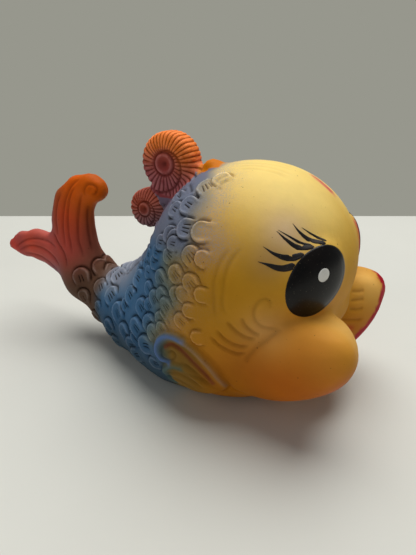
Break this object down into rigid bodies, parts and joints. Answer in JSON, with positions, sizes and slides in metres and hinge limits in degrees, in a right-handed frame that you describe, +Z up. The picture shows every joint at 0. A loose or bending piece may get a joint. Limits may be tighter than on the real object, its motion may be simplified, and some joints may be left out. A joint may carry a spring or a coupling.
{
  "type": "squeaky bath toy",
  "caption": "Hollow soft vinyl fish with a large head, puffy cheeks, curled crest and forked tail, and a reed whistle pressed into its belly.",
  "frame": {"origin": "middle of the flat of the belly, which the toy rests on", "axes": "+X along the fish towards its mouth, +Y to the fish's left, +Z up from the surface it rests on"},
  "size_m": [0.1817, 0.0762, 0.0988],
  "materials": {
    "vinyl": "soft vinyl, yellow, with airbrushed blue, orange and red paint, satin",
    "whistle_plastic": "moulded ivory plastic",
    "wedge_plastic": "moulded tan plastic",
    "reed_brass": "thin rolled brass strip"
  },
  "bodies": {
    "whistle": {"whistle_plug": "whistle_plastic", "reed_bed": "whistle_plastic", "reed_wedge": "wedge_plastic"},
    "shell": {"vinyl_shell": "vinyl"},
    "reed": {"reed_tongue": "reed_brass"}
  },
  "joints": [
    {"name": "squeeze", "type": "slide", "parent": "whistle", "child": "shell", "axis": [0, 0, -1], "range_m": [0, 0.012], "stiffness_N_per_m": 1000, "deforming": ["vinyl_shell"]},
    {"name": "reed_flex", "type": "hinge", "parent": "whistle", "child": "reed", "pos_m": [-0.02, 0, 0.0107], "axis": [1, 0, 0], "range_deg": [-2, 2], "stiffness_Nm_per_rad": 0.048}
  ]
}
